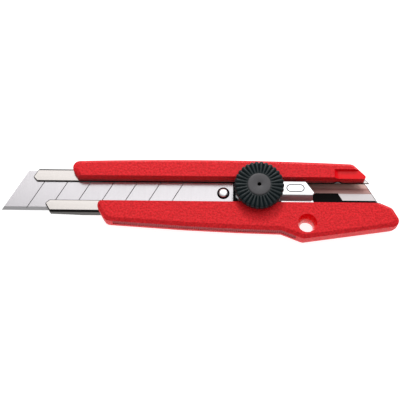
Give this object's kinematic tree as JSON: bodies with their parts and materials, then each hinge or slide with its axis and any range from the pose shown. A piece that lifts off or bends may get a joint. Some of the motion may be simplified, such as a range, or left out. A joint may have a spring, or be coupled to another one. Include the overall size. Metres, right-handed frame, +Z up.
{
  "type": "snap-off knife",
  "caption": "Heavy-duty snap-off knife: red handle, steel channel, segmented blade and a screw-lock slider with a ridged knob.",
  "frame": {"origin": "on the flat back, under the blade's centre line, half way between the blade tip and the tail", "axes": "+X from the blade tip to the tail, +Y from the cutting edge to the blade's back, +Z up through the lock knob"},
  "size_m": [0.169, 0.0351, 0.0166],
  "materials": {
    "red_plastic": "moulded with a fine leather grain, semi-matt",
    "red_grip": "soft, fine teeth",
    "sheath_steel": "cold rolled stainless, bright",
    "blade_steel": "fine ground",
    "slider_chrome": "polished plating",
    "black_plastic": "satin moulded",
    "grey_plastic": "satin moulded",
    "plain_steel": "zinc plated",
    "spring_steel": "tempered",
    "brass": "turned"
  },
  "bodies": {
    "handle": {"handle_body": "red_plastic", "grip_strip": "red_grip", "blade_sheath": "sheath_steel", "channel_liner": "black_plastic", "sheath_rivets": "plain_steel"},
    "slider": {"slider_body": "slider_chrome", "guide_shoe": "black_plastic", "plain_washer": "plain_steel", "spring_washer": "spring_steel"},
    "knob": {"lock_knob": "black_plastic", "knob_nut": "brass", "knob_cap": "grey_plastic"},
    "clamp": {"carriage_base": "plain_steel", "clamp_stud": "plain_steel", "blade_peg": "plain_steel", "blade": "blade_steel", "carriage_spring": "spring_steel", "spring_rivets": "brass", "retaining_clip": "spring_steel"}
  },
  "joints": [
    {"name": "blade_slide", "type": "slide", "parent": "handle", "child": "slider", "axis": [1, 0, 0], "range_m": [-0.058, 0.024]},
    {"name": "knob_turn", "type": "hinge", "parent": "slider", "child": "knob", "pos_m": [0.025, 0, 0.0145], "axis": [0, 0, 1], "range_deg": [0, 180]},
    {"name": "clamp_drop", "type": "slide", "parent": "slider", "child": "clamp", "axis": [0, 0, 1], "range_m": [-0.00035, 0]}
  ],
  "couplings": [
    {"joint": "knob_turn", "follows": "clamp_drop", "rad_per_m": -8975}
  ]
}
